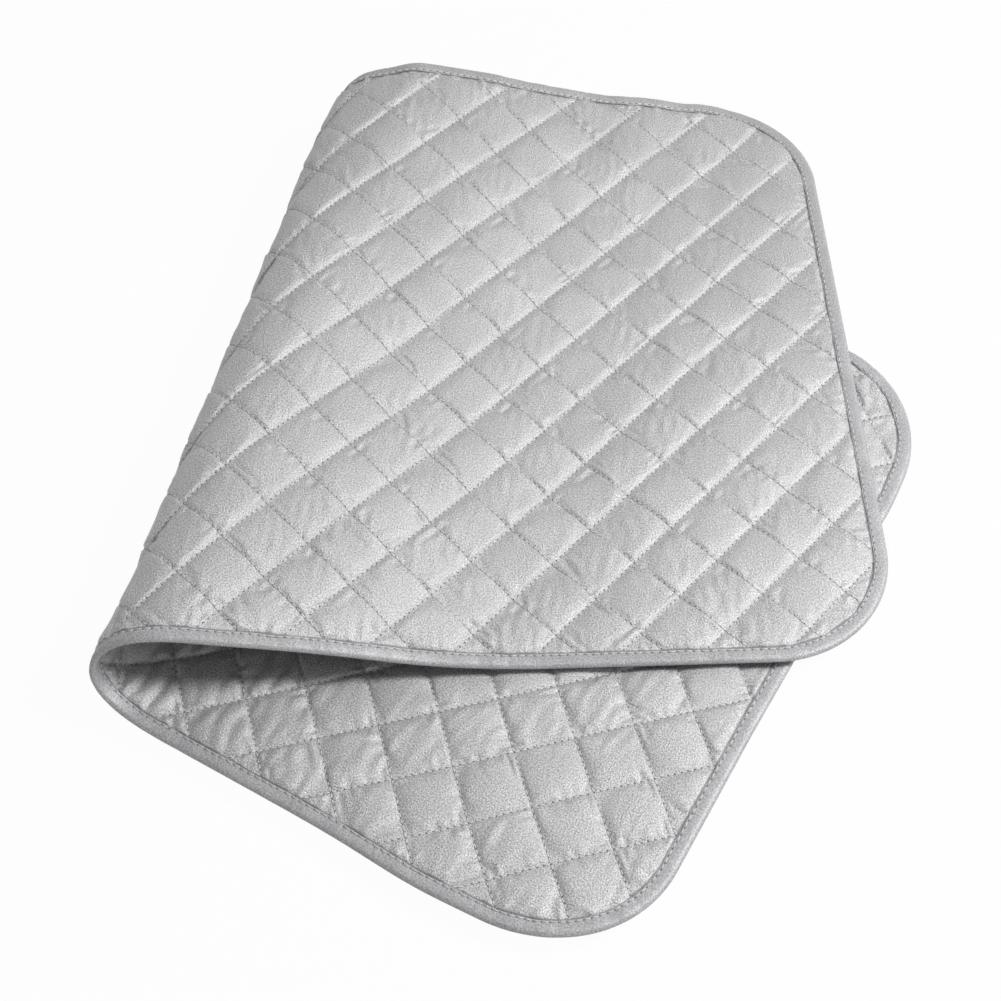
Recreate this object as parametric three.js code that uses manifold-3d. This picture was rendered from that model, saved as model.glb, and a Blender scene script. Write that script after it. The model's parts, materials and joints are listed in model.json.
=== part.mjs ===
// Quilted ironing mat, folded once across its middle: two covers with wadding between them,
// sewn together in diamonds and bound all round with tape. Millimetres, +Z up.
import * as THREE from "three";
import { mergeVertices } from "three/addons/utils/BufferGeometryUtils.js";
import Module from "manifold-3d";

// The mat laid flat
const PAD_LENGTH = 853;
const PAD_WIDTH = 476;
const CORNER_RADIUS = 79;
const CORNER_STEPS = 5;

// Quilting: two sets of parallel stitch lines, each at 45 degrees to the edges
const STITCH_SPACING = 35.9;
const CROSSING_ALONG = 10.2; // one crossing of two lines, from the middle of the mat
const CROSSING_ACROSS = 12.1;
const LOFT = 2.4; // rise of each pillow over its stitch lines
const CROWN_SPAN = 26; // diagonal of a pillow's flat crown
const DRAW_IN = 12; // the pillows sink to the binding over this width
const DRAW_IN_STEPS = 1;
const BUNCH = 1.2; // the inner cover over its seams inside the bight, where it has no clear pillows

// Layers
const CLOTH = 0.5;
const WADDING = 1.6; // the sheet as the stitches hold it, its loft counted with the covers
const LAYER_GAP = 0.3;

// Edge binding, a tape folded over the edge
const BINDING_WIDTH = 9;
const TAPE = 0.6;
const TAPE_FOLD = 1.4; // tape and its turning at the very edge
const EDGE_ROUND = 1.6;
const EDGE_STEPS = 2;

// The fold: a bight of straight strips, then a dip where the upper leaf comes down on the lower
const FOLD_SKEW = 16.3; // degrees between the fold and the mat's short side
const STRIP_COUNT = 4;
const STRIP_WIDTH = 22.3;
const DIP_ANGLE = 15.4; // degrees that the upper leaf slopes between bight and dip
const REST_GAP = 0.6; // between the two leaves
const HINGE_GAP = 0.3;

// Heights over the mat's middle plane, and the whole thickness over the crowns
const WADDING_HALF = WADDING / 2;
const CAVITY_HALF = WADDING_HALF + LAYER_GAP;
const COVER_SEAM = CAVITY_HALF + CLOTH;
const SLOT_HALF = COVER_SEAM + LAYER_GAP;
const BINDING_HALF = SLOT_HALF + TAPE;
const THICKNESS = 2 * (COVER_SEAM + LOFT);

// Insets from the mat's outline
const LAYER_EDGE = TAPE_FOLD + LAYER_GAP;
const COVER_RISE = BINDING_WIDTH + LAYER_GAP;

const HALF_DIAMOND = STITCH_SPACING / Math.SQRT2;
const REACH = PAD_LENGTH + PAD_WIDTH; // longer than the mat in any direction

const wasm = await Module();
wasm.setup();

function solidOf(geometry) {
  const bare = new THREE.BufferGeometry();
  bare.setAttribute("position", geometry.getAttribute("position"));
  bare.setIndex(geometry.index);
  const merged = mergeVertices(bare, 1e-4);
  const mesh = new wasm.Mesh({
    numProp: 3,
    vertProperties: merged.getAttribute("position").array,
    triVerts: new Uint32Array(merged.index.array),
  });
  return new wasm.Manifold(mesh);
}

function geometryOf(solid) {
  const mesh = solid.getMesh();
  const geometry = new THREE.BufferGeometry();
  geometry.setAttribute("position", new THREE.Float32BufferAttribute(mesh.vertProperties, 3));
  geometry.setIndex(Array.from(mesh.triVerts));
  geometry.computeVertexNormals();
  return geometry;
}

// The mat's outline, moved in from the edge
function outline(inset) {
  const x = PAD_LENGTH / 2 - inset;
  const y = PAD_WIDTH / 2 - inset;
  const r = CORNER_RADIUS - inset;
  const shape = new THREE.Shape();
  shape.absarc(x - r, y - r, r, 0, Math.PI / 2);
  shape.absarc(-x + r, y - r, r, Math.PI / 2, Math.PI);
  shape.absarc(-x + r, -y + r, r, Math.PI, 1.5 * Math.PI);
  shape.absarc(x - r, -y + r, r, 1.5 * Math.PI, 2 * Math.PI);
  shape.closePath();
  return shape;
}

// A plate of the mat's outline about the middle plane
function plate(inset, half) {
  const geometry = new THREE.ExtrudeGeometry(outline(inset), {
    depth: 2 * half,
    bevelEnabled: false,
    curveSegments: CORNER_STEPS,
  });
  return solidOf(geometry.translate(0, 0, -half));
}

// The same plate, swelling on both faces by rise over the width spread
function swollenPlate(inset, half, spread, rise, steps) {
  const geometry = new THREE.ExtrudeGeometry(outline(inset + spread), {
    depth: 2 * half,
    bevelEnabled: true,
    bevelThickness: rise,
    bevelSize: spread,
    bevelSegments: steps,
    curveSegments: CORNER_STEPS,
  });
  return solidOf(geometry.translate(0, 0, -half));
}

// A sheet of diamond pillows, larger than the mat and alike on both faces. It is COVER_SEAM high at
// the stitch lines and LOFT higher over the crowns, which are flat over the diagonal crownSpan.
// Where that is 0 the pillow has a peak.
function quiltedSheet(crownSpan) {
  const points = [];
  const faces = [];
  const known = new Map();
  const edges = new Map();
  const point = (x, y, z) => {
    const key = [x, y, z].map((v) => v.toFixed(4)).join();
    if (!known.has(key)) {
      known.set(key, points.length / 3);
      points.push(x, y, z);
    }
    return known.get(key);
  };
  const face = (ring, up) => {
    const wound = up ? ring : [...ring].reverse();
    for (let i = 2; i < wound.length; i += 1) faces.push(wound[0], wound[i - 1], wound[i]);
  };
  const ringOf = (cx, cy, span, z) => [
    point(cx, cy + span, z),
    point(cx - span, cy, z),
    point(cx, cy - span, z),
    point(cx + span, cy, z),
  ];
  const pillow = (cx, cy, up) => {
    const side = up ? 1 : -1;
    const foot = ringOf(cx, cy, HALF_DIAMOND, side * COVER_SEAM);
    const crest = side * (COVER_SEAM + LOFT);
    const crown = crownSpan > 0 ? ringOf(cx, cy, crownSpan / 2, crest) : null;
    const peak = crown ? null : point(cx, cy, crest);
    foot.forEach((corner, k) => {
      const next = (k + 1) % foot.length;
      face(crown ? [corner, foot[next], crown[next], crown[k]] : [corner, foot[next], peak], up);
      if (up) edges.set(`${corner},${foot[next]}`, [corner, foot[next]]);
    });
    if (crown) face(crown, up);
  };
  const alongCount = Math.ceil(PAD_LENGTH / 2 / HALF_DIAMOND) + 2;
  const acrossCount = Math.ceil(PAD_WIDTH / 2 / HALF_DIAMOND) + 2;
  for (let i = -alongCount; i <= alongCount; i += 1) {
    for (let j = -acrossCount; j <= acrossCount; j += 1) {
      if ((i + j) % 2 === 0) continue; // a crossing, not the middle of a diamond
      const cx = CROSSING_ALONG + i * HALF_DIAMOND;
      const cy = CROSSING_ACROSS + j * HALF_DIAMOND;
      pillow(cx, cy, true);
      pillow(cx, cy, false);
    }
  }
  // Walls where the sheet ends, straight down from its outermost stitch lines
  for (const [from, to] of edges.values()) {
    if (edges.has(`${to},${from}`)) continue;
    const below = [from, to].map((n) => point(points[3 * n], points[3 * n + 1], -COVER_SEAM));
    face([to, from, below[0], below[1]], true);
  }
  const geometry = new THREE.BufferGeometry();
  geometry.setAttribute("position", new THREE.Float32BufferAttribute(points, 3));
  geometry.setIndex(faces);
  return solidOf(geometry);
}

// Room for both covers of the whole mat, flat, about its middle plane, around that of the wadding:
// a margin under the binding, and inside it a swell that rises over the seams
function coverRoom(rise) {
  const margin = plate(LAYER_EDGE, COVER_SEAM);
  const swell = swollenPlate(COVER_RISE, COVER_SEAM, DRAW_IN, rise, DRAW_IN_STEPS);
  return margin.add(swell).subtract(plate(0, CAVITY_HALF));
}

function binding() {
  const body = swollenPlate(0, BINDING_HALF - EDGE_ROUND, EDGE_ROUND, EDGE_ROUND, EDGE_STEPS);
  const slot = plate(TAPE_FOLD, SLOT_HALF);
  return body.subtract(slot).subtract(plate(BINDING_WIDTH, THICKNESS));
}

// The same layers with the fold along Y, the outer cover's crowns at z = 0 and the lower leaf at +X
function turned(solid) {
  const geometry = geometryOf(solid);
  geometry.rotateZ(THREE.MathUtils.degToRad(-FOLD_SKEW));
  geometry.translate(0, 0, THICKNESS / 2);
  return solidOf(geometry);
}

// Hinges from the lower leaf to the upper one: x and z of the line when flat, and its bend at rest
function hinges() {
  const dip = THREE.MathUtils.degToRad(DIP_ANGLE);
  const bend = (Math.PI + dip) / (STRIP_COUNT + 1);
  const list = [];
  let crest = 0;
  for (let i = 0; i <= STRIP_COUNT; i += 1) {
    list.push({ x: (STRIP_COUNT / 2 - i) * STRIP_WIDTH, z: 0, bend });
    if (i > 0) crest += STRIP_WIDTH * Math.sin(i * bend);
  }
  // The slope ends where the upper leaf, level, lies just over the lower one
  const drop = crest - THICKNESS * (1 + Math.cos(dip)) - REST_GAP;
  list.push({ x: list[STRIP_COUNT].x - drop / Math.sin(dip), z: THICKNESS, bend: -dip });
  return list;
}

// The space of one body, mitred towards its hinges, between two heights and two ends along Y
function bodySpace(before, after, low, high, near, far) {
  const reach = (hinge, z, side) =>
    hinge.x + side * (HINGE_GAP / 2 + (z - hinge.z) * Math.tan(hinge.bend / 2));
  const right = (z) => (before ? reach(before, z, -1) : REACH);
  const left = (z) => (after ? reach(after, z, 1) : -REACH);
  const section = new THREE.Shape();
  section.moveTo(left(low), low);
  section.lineTo(right(low), low);
  section.lineTo(right(high), high);
  section.lineTo(left(high), high);
  section.closePath();
  const geometry = new THREE.ExtrudeGeometry(section, { depth: far - near, bevelEnabled: false });
  geometry.rotateX(Math.PI / 2).translate(0, far, 0);
  return solidOf(geometry);
}

const silverCloth = new THREE.MeshStandardMaterial({
  color: 0xc2c4c6,
  roughness: 0.45,
  metalness: 0.35,
});
const bindingTape = new THREE.MeshStandardMaterial({
  color: 0xb2b4b6,
  roughness: 0.5,
  metalness: 0.25,
});
const whiteWadding = new THREE.MeshStandardMaterial({
  color: 0xeceae4,
  roughness: 0.95,
  metalness: 0,
});

// Full crowns on the faces that show or lie on the table, plain peaks in the bight and between the
// leaves, and no pillows where the bight bunches the inner cover
const crowned = turned(quiltedSheet(CROWN_SPAN).intersect(coverRoom(LOFT)));
const peaked = turned(quiltedSheet(0).intersect(coverRoom(LOFT)));
const bunched = turned(coverRoom(BUNCH));
const wadding = turned(plate(LAYER_EDGE, WADDING_HALF));
const tape = turned(binding());

const mat = new THREE.Group();
const folds = hinges();
const bodies = [{ name: "lower", outer: crowned, inner: crowned }];
for (let i = 1; i <= STRIP_COUNT; i += 1) {
  bodies.push({ name: `bight_${i}`, outer: peaked, inner: bunched });
}
bodies.push({ name: "slope", outer: crowned, inner: peaked });
bodies.push({ name: "upper", outer: crowned, inner: peaked });

let carrier = mat;
bodies.forEach(({ name, outer, inner }, index) => {
  const before = folds[index - 1];
  const after = folds[index];
  if (before) {
    const pivot = new THREE.Group();
    pivot.position.set(before.x, 0, before.z);
    pivot.rotation.y = before.bend;
    const flat = new THREE.Group();
    flat.position.set(-before.x, 0, -before.z);
    carrier.add(pivot);
    pivot.add(flat);
    carrier = flat;
  }
  const middle = THICKNESS / 2;
  const over = THICKNESS + LAYER_GAP;
  const space = (low, high, near, far) => bodySpace(before, after, low, high, near, far);
  const piece = (title, solid, material) => {
    const mesh = new THREE.Mesh(geometryOf(solid), material);
    mesh.name = `${title}_${name}`;
    carrier.add(mesh);
  };
  const whole = space(-LAYER_GAP, over, -REACH, REACH);
  const outerHalf = space(-LAYER_GAP, middle, -REACH, REACH);
  const innerHalf = space(middle, over, -REACH, REACH);
  piece("outer_cover", outer.intersect(outerHalf), silverCloth);
  piece("wadding", wadding.intersect(whole), whiteWadding);
  piece("inner_cover", inner.intersect(innerHalf), silverCloth);
  if (before && after) {
    piece("near_binding", tape.intersect(space(-LAYER_GAP, over, -REACH, 0)), bindingTape);
    piece("far_binding", tape.intersect(space(-LAYER_GAP, over, 0, REACH)), bindingTape);
  } else {
    piece("binding", tape.intersect(whole), bindingTape);
  }
});

// The origin is on the table, under the middle of the folded mat
const box = new THREE.Box3().setFromObject(mat, true);
const centre = box.getCenter(new THREE.Vector3());
mat.position.set(-centre.x, -centre.y, -box.min.z);

const group = new THREE.Group();
group.add(mat);

export default group;
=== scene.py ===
"""Looks of a diamond-quilted ironing mat, folded askew across its middle, on a plain studio floor.

The mat is cut flat, sewn and filled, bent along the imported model's hinge lines, and split where
those lines let it move. Sizes are in metres.
"""

import json
import math

import bmesh
import bpy
import numpy as np
from bpy.props import FloatProperty, FloatVectorProperty, IntProperty, PointerProperty
from mathutils import Euler, Matrix, Vector


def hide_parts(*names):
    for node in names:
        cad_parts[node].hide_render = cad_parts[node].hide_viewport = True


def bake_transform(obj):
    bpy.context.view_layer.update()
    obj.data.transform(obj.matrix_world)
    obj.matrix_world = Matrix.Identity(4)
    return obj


bl_info = {
    "name": "Quilted ironing mat",
    "version": (1, 0, 0),
    "blender": (4, 5, 0),
    "location": "View3D > Sidebar > Mat",
    "description": "Sews, fills and folds a diamond-quilted ironing mat around its packed frame",
    "category": "Object",
}

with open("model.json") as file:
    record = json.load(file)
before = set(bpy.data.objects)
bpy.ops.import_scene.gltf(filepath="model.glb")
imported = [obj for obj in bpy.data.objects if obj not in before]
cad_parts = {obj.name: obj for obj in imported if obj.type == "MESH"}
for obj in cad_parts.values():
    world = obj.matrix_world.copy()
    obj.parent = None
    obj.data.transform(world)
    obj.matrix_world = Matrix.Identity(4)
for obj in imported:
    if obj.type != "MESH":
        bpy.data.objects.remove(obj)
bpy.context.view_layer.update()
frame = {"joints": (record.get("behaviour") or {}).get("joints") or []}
MM = 0.001
WELD = 1e-6
TINY = 1e-12

JOINTS = {joint["name"]: joint for joint in frame["joints"]}
FOLDS = [JOINTS[f"fold_{number}"] for number in range(1, 6)]
HINGES = np.array([[joint["pos_m"][0], joint["pos_m"][2]] for joint in FOLDS])
STRIP = float(np.linalg.norm(HINGES[1] - HINGES[0]))
TURN = math.radians(FOLDS[0]["range_deg"][1])
DIP_TURN = math.radians(JOINTS["dip"]["range_deg"][1])
DIP_PLACE = np.array([JOINTS["dip"]["pos_m"][0], JOINTS["dip"]["pos_m"][2]])

# Flat places across the fold are measured from the bight's middle hinge, towards the lower leaf's end.
MIDDLE_FOLD = len(FOLDS) // 2
# Where the mat is split: half way along each narrow strip of the bight, and half way down the slope. Only
# faces near a split are looked at for its cut.
SPLITS = [1.5 * STRIP, 0.5 * STRIP, -0.5 * STRIP, -1.5 * STRIP, -6.3 * STRIP]
SPLIT_NEAR = 12 * MM
LENGTHS = ["lower", "bend_1", "bend_2", "bend_3", "slope", "upper"]
STANDS_FOR = [["lower"], ["bight_1"], ["bight_2"], ["bight_3", "bight_4"], ["slope"], ["upper"]]

# How the folded mat departs from a plain bend, by flat places across the fold and along it. A pair is a place
# and the reach round it.
BEND_STEP = 0.25 * MM
BIGHT_TABLE = 2001
SAG_ACROSS = (-135 * MM, 55 * MM)
SAG_ALONG = (15 * MM, 85 * MM)
SAG_MIDDLE = 1.5
SAG_EVEN = 0.5
LIFT_ACROSS = np.array([10, -35, -75, -105, -150, -190, -230, -265, -300]) * MM
LIFT_SHARE = np.array([0.0, -0.55, 1.2, 1.1, 0.65, 0.9, 1.35, 0.35, -0.45])
LIFT_REACH = 20 * MM
LIFT_START = 90 * MM
LIFT_LENGTH = 170 * MM
DRAWN_ALONG = np.array([-250, -215, -190, -100, 50, 190, 230, 265]) * MM
DRAWN_IN = np.array([-1.5, 2.5, 4.0, 2.5, 2.0, 0.0, 2.0, 6.0]) * MM
DRAWN_ACROSS = (0.0, 45 * MM)

# How the lower leaf departs from a true oblong, by places along and across the mat.
NEAR_START = 60 * MM
NEAR_LENGTH = 150 * MM
LONGER_START = 200 * MM
FAR_CORNER = (125 * MM, 45 * MM)
LONGER_EVEN = 0.5
LONGER_NEAR = 0.5
LONGER_FAR = 0.9
BULGE_ALONG = (308 * MM, 42 * MM)

# Pillows: how sharply they rise from the seams and the tape, and how unevenly they are filled.
CROWDING = 0.04
FEED_PUSH = 1.3
PLUMP = 1.6
SEAM_POWER = 2.6
EDGE_POWER = 2.2
EDGE_SPAN = 0.6
FLOAT_SPAN = 0.4
TAPE_POWER = 1.8
TAPE_PRESS = 3 * MM
FILL_RANGE = (0.82, 1.08)
FILL_SEED = 3
DRAWS = 128
CROWN_SHARE = 0.85
CROWN_PERCENT = 60
SEAM_HOLDS = 0.01

# Shares of the tape's width, in from the rim: where the cloth ends, its loft starts, the binding's hold ends,
# the tape stops pressing it down, and its seams may float.
CLOTH_END = 0.3
LOFT_START = 0.8
HOLD_END = 0.9
PRESS_END = 0.95
FLOAT_START = 1.1

# Uneven waves: heading and its spread in radians, wave length, and the seed of their random draws.
RIPPLES = {
    "patches": (0.7, 1.5, 70 * MM, 33),
    "fine": (math.pi / 2, 0.22, 9 * MM, 35),
    "pulled": (math.pi / 2, 0.05, 7.5 * MM, 37),
    "ridge_bend": (0.9, 1.2, 40 * MM, 39),
    "tape_puff": (math.pi / 2, 0.1, 17 * MM, 51),
    "tape_crease": (math.pi / 2, 0.1, 6 * MM, 52),
    "tape_wander": (math.pi / 2, 0.1, 30 * MM, 53),
    "fed_along": (0.4, 1.6, 30 * MM, 61),
    "fed_across": (1.9, 1.6, 30 * MM, 71),
    "pucker": (0.8, 1.6, 11 * MM, 81),
    "start": (0.0, 3.0, 20 * MM, 91),
}
RIPPLE_COUNT = 14
RIPPLE_RANGE = (0.7, 1.5)

# Creases: their heights, and where they lie.
FINE_CREASE = 0.28 * MM
FINE_POWER = 0.5
PATCH_MEAN = 0.5
PATCH_SWING = 0.6
PATCH_MOST = 1.3
EDGE_CREASE = 0.5 * MM
EDGE_CREASE_POWER = 0.3
EDGE_FADE = 9 * MM
RIDGE_HEIGHT = 3.0 * MM
RIDGE_WAVE = 12.5 * MM
RIDGE_BEND = 2.5 * MM
RIDGE_SLANT = 0.12
RIDGE_LEAST = 0.35
RIDGE_POWER = 0.7
RIDGE_LEVEL = 0.65
RIDGE_SEED = 31
ROOM_LOWER = 90 * MM
ROOM_LOWER_FADE = 50 * MM
ROOM_UPPER = -40 * MM
ROOM_UPPER_FADE = 40 * MM

# The cloth as it is cut, before the stitches gather it. What is pushed together at the fold is a share of
# the cloth, the place across the fold where that is most, and its reach.
EASE = 0.014
FED_UNEVEN = 0.4 * MM
PUCKER = 0.8 * MM
PUCKER_FADE = 12 * MM
PUSHED_OUTER = (0.015, -20 * MM, 60 * MM)
PUSHED_INNER = (0.03, 25 * MM, 85 * MM)
PUSH_LINE = 0.6
PUSH_TABLE = 2401
START_RISE = 1.2 * MM
START_ROUGH = 0.1 * MM
MOST_MOVED = 2 * MM

# The cloth is simulated larger than life, and is wholly sewn after this share of the frames.
CLOTH_SCALE = 20.0
CLOTH_FRAMES = 15
CLOTH_SEWN = 0.6
CLOTH_SETTINGS = {
    "quality": 6,
    "mass": 0.15,
    "tension_stiffness": 15,
    "compression_stiffness": 15,
    "shear_stiffness": 5,
    "bending_stiffness": 0.4,
    "tension_damping": 5,
    "compression_damping": 5,
    "shear_damping": 5,
    "bending_damping": 0.5,
    "air_damping": 1.0,
    "use_pressure": True,
    "uniform_pressure_force": 3.0,
}

# Cross-section of the tape on one face, in mm, from its sewn edge to the rim: distance in from the rim and
# height over the mat's mid-plane. Then the same back along the side that lies on the cloth.
TAPE_TOP = [
    (9.0, 1.5), (9.0, 1.9), (8.8, 2.15), (8.3, 2.22), (7.8, 2.2), (7.2, 2.24), (6.0, 2.3),
    (4.5, 2.34), (3.1, 2.3), (2.2, 2.18), (1.5, 1.95), (0.9, 1.55), (0.45, 1.05), (0.12, 0.5),
]
TAPE_UNDER = [(1.3, 0.6), (1.6, 1.15), (3.0, 1.45), (5.5, 1.4), (8.0, 1.35)]
TAPE_RIM = (0.0, 0.0)
TAPE_FOLD = (1.2, 0.0)
TAPE_SIDE = 1.2 * MM
TAPE_PUFF = 0.12 * MM
TAPE_CREASE = 0.05 * MM
TAPE_WANDER = 0.22 * MM

# Stitches: each is one round grain of thread, with a width and a height. Steps are points of the outline,
# for each stitch of the tape's mesh, for each stitch of its row, and in all for measuring lengths.
STITCH_SIDES = 5
STITCH_RINGS = 4
STITCH_POINTS = STITCH_SIDES * (STITCH_RINGS - 1) + 2
STITCH_SHARE = 0.8
QUILTING_STITCH = (0.75 * MM, 0.6 * MM)
QUILTING_OVER = 0.25 * MM
BINDING_STITCH = (1.2 * MM, 0.7 * MM)
BINDING_HEIGHT = 2.25 * MM
STITCH_INSET = 7.8 * MM
STITCH_STEPS = 4
STITCH_SUNK = 0.3 * MM
STITCH_REACH = 0.8 * MM
ROW_STEPS = 8
LENGTH_STEPS = 2000

# Finishes: wave lengths, tones from dark to light, where painted shades fade, and how strong they are. The
# grooves, holes, tucks and rows shade the cloth and tape with painted shade. The cloth's real threads are
# about 0.25 mm apart. They are drawn wider apart, or the render couldn't show them.
NOISE_RANGE = (0.3, 0.7)
GRAIN = 0.9 * MM
SPARKLE = 0.5
CLOUDS = 55 * MM
CLOUD_TONES = (0.96, 1.03)
ROUGH = (0.44, 0.64)
GROOVE_FADE = (0.2 * MM, 0.7 * MM)
GROOVE_SHADE = 0.3
HOLE_FADE = (0.15 * MM, 0.6 * MM)
HOLE_SHADE = 0.75
HOLE_PIT = -2.0
TUCK_FADE = (1.4 * MM, 0.5 * MM)
TUCK_SHADE = 0.8
TAPE_GRAIN = 1.1 * MM
TAPE_SPECKS = (0.72, 1.28)
TAPE_CLOUDS = 22 * MM
TAPE_TONES = (0.94, 1.05)
TAPE_PIT = -1.5
ROW_HALF = 0.45 * MM
ROW_FADE = (0.06, 0.15)
ROW_SHADE = (1.0, 0.12)
TWIST = 0.6 * MM
TWIST_TONES = (0.8, 1.1)

# The stage. The floor lies lower than the table would, clear of the waves that the fold leaves in the mat
# when it is opened. The room is brightest behind the mat and overhead, and dark before it.
FLOOR_DROP = 10 * MM
FLOOR_REACH = 3.0
FLOOR_GLOW = 0.97
WALL_HEIGHT = 1.8
WHITE = (1, 1, 1, 1)
WORLD_WAY = (-0.38, 0.50, 0.78)
WORLD_LIGHT = (0.0, 0.46)
KEY_PLACE = (0.97, 0.15, 1.27)
EYE_DEGREES = (35.684, -0.844, 13.884)


def linear(colour):
    """An sRGB hex colour as linear red, green, blue and alpha."""
    parts = [int(colour[i : i + 2], 16) / 255 for i in (1, 3, 5)]
    return tuple(p / 12.92 if p <= 0.04045 else ((p + 0.055) / 1.055) ** 2.4 for p in parts) + (1.0,)


def length_property(name, description, default):
    """A property that holds a length."""
    return FloatProperty(name=name, description=description, default=default, subtype="DISTANCE")


def colour_property(name, description, default):
    """A property that holds a colour, given in hex."""
    return FloatVectorProperty(
        name=name, description=description, default=linear(default), subtype="COLOR", size=4, min=0, max=1
    )


class MatCut(bpy.types.PropertyGroup):
    """Sizes of the mat as it is cut and sewn, before it is folded."""

    length: length_property("Length", "Long side of the mat", 853 * MM)
    width: length_property("Width", "Short side of the mat", 476 * MM)
    corner: length_property("Corner radius", "Rounding of the corners", 79 * MM)
    skew: FloatProperty(
        name="Skew", description="Angle of the fold off square", default=math.radians(16.3), subtype="ANGLE"
    )
    spacing: length_property("Stitch spacing", "Distance between quilting lines", 35.9 * MM)
    crossing_along: length_property("Crossing along", "A stitch crossing, along from the middle", 10.2 * MM)
    crossing_across: length_property("Crossing across", "That crossing, across from the middle", 12.1 * MM)
    thickness: length_property("Thickness", "From crown to crown of the pillows", 8.0 * MM)
    seam: length_property("Seam thickness", "Thickness where the stitches pull it flat", 2.8 * MM)
    cells: IntProperty(
        name="Cells", description="Mesh cells across one diamond", default=24, min=4, max=32
    )
    stitches: IntProperty(
        name="Stitches", description="Stitches along one side of a diamond", default=9, min=4, max=16
    )
    tape: length_property("Tape width", "Binding tape on each face", 9.0 * MM)
    tape_stitch: length_property("Tape stitch", "Length of one stitch of the binding", 5.0 * MM)
    bight_reach: length_property("Bight reach", "How far the bight's bend spreads to each side", 74 * MM)
    bight_peak: FloatProperty(
        name="Bight peak", description="How much tighter the bight bends at its middle",
        default=0.78, min=0, max=1,
    )
    sag: length_property("Sag", "How far the slope hangs between the edges", 5 * MM)
    dip_reach: length_property("Dip reach", "How far the soft dip spreads to each side", 48 * MM)
    far_lift: length_property("Far lift", "How much higher the slope stands at its far edge", 4.5 * MM)
    longer: length_property("Longer end", "How much the lower leaf is cut beyond an oblong", 5.5 * MM)
    bulge: length_property("Bulge", "How far the lower leaf's near edge bulges", 3 * MM)
    floating: FloatProperty(
        name="Floating seams", default=0.8, min=0, max=1,
        description="Share of the loft that the second set of seams keeps between crossings",
    )


class MatFinish(bpy.types.PropertyGroup):
    """Colours of the mat and its stage."""

    cloth: colour_property("Silver cloth", "Aluminium-coated cotton", "#C8C8C9")
    tape: colour_property("Binding tape", "Folded tape round the edge", "#B9B9BB")
    thread: colour_property("Thread", "Quilting and binding thread", "#ECECEC")
    # Painted shade: this colour darkens the cloth in its needle holes, seam grooves and the crease by the
    # binding, and the tape along its stitch rows.
    shade: colour_property("Needle holes", "Cloth down in the needle holes", "#7C7C7E")
    floor: colour_property("Floor", "Studio floor", "#D8D8D8")


# the bend, from flat sizes to the folded place


def hump(x, place, reach):
    """One at a place, fading to nothing at about twice its reach."""
    return np.exp(-(((x - place) / reach) ** 2))


class Bend:
    """The folded line of the mat's outer face, as a table from the flat place across the fold."""

    def __init__(self, cut):
        thick, dip_reach, reach = cut.thickness, cut.dip_reach, cut.bight_reach
        whole_turn = TURN * len(FOLDS)
        down = np.array([-math.cos(whole_turn), math.sin(whole_turn)])
        self.start = reach
        self.shift = HINGES[0][0] - MIDDLE_FOLD * STRIP
        self.dip = float((DIP_PLACE - HINGES[-1]) @ down) + MIDDLE_FOLD * STRIP
        self.sag = cut.sag
        self.far_lift = cut.far_lift
        # The bight bends most at its middle. Its length is what joins the lower leaf's plane to the slope's.
        share = np.linspace(0, 1, BIGHT_TABLE)
        peak = cut.bight_peak * np.sin(2 * math.pi * (share - 0.5)) / (2 * math.pi)
        peaked = whole_turn * (share + peak)
        chord = math.hypot(np.cos(peaked).mean(), np.sin(peaked).mean())
        span = HINGES[-1] + (reach - MIDDLE_FOLD * STRIP) * down - np.array([reach + self.shift, 0])
        # flat places, measured from the start of the bight, and the length of folded outer face up to each
        flat = [0.0, 2 * reach, reach + self.dip - dip_reach, reach + self.dip + dip_reach, cut.length]
        lengths = [
            float(np.linalg.norm(span)) / chord,
            flat[2] - flat[1],
            (dip_reach / math.tan(DIP_TURN / 2) - thick) * DIP_TURN,
            flat[4] - flat[3],
        ]
        self.flat, self.along = np.array(flat), np.concatenate([[0.0], np.cumsum(lengths)])
        self.s = np.arange(0.0, self.along[-1] + BEND_STEP, BEND_STEP)
        bight = np.interp(self.s / lengths[0], share, peaked)
        after = np.interp(self.s, self.along[1:], [whole_turn, whole_turn, math.pi, math.pi])
        self.angle = np.where(self.s < lengths[0], bight, after)
        middle = (self.angle[1:] + self.angle[:-1]) / 2
        self.x = np.concatenate([[0.0], np.cumsum(-np.cos(middle) * BEND_STEP)]) + self.start + self.shift
        self.z = np.concatenate([[0.0], np.cumsum(np.sin(middle) * BEND_STEP)])

    def __call__(self, points):
        """Folded places of flat points: x across the fold, y along it, z up from the outer face's crowns."""
        gone = self.start - points[:, 0]
        s = np.interp(gone, self.flat, self.along)
        angle = np.interp(s, self.s, self.angle)
        x = np.interp(s, self.s, self.x) + points[:, 2] * np.sin(angle)
        z = np.interp(s, self.s, self.z) + points[:, 2] * np.cos(angle)
        level = gone <= 0
        x = np.where(level, points[:, 0] + self.shift, x)
        z = np.where(level, points[:, 2], z)
        # The slope hangs a little between the stiffer bound edges.
        hang = SAG_MIDDLE * hump(points[:, 1], *SAG_ALONG) - SAG_EVEN
        z = z - self.sag * hump(points[:, 0], *SAG_ACROSS) * hang
        # Its far edge is wavy: it stands higher past the bight, and droops where no leaf lies under it.
        wavy = smoothly_between(points[:, 0], LIFT_ACROSS, LIFT_SHARE, LIFT_REACH)
        z = z + self.far_lift * wavy * np.clip((points[:, 1] - LIFT_START) / LIFT_LENGTH, 0, 1) ** 2
        # The bight is drawn in between its ends.
        x = x + np.interp(points[:, 1], DRAWN_ALONG, DRAWN_IN) * hump(points[:, 0], *DRAWN_ACROSS)
        return np.stack([x, points[:, 1], z], axis=1)

    def one(self, across, height):
        """The folded place of one point on the fold's own line."""
        return Vector(self(np.array([[across, 0.0, height]]))[0])


def smoothly_between(x, places, values, reach):
    """Values at x, smoothly drawn through the values at a few places."""
    weights = hump(x[:, None], places, reach) + TINY
    return weights @ values / weights.sum(axis=1)


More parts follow.
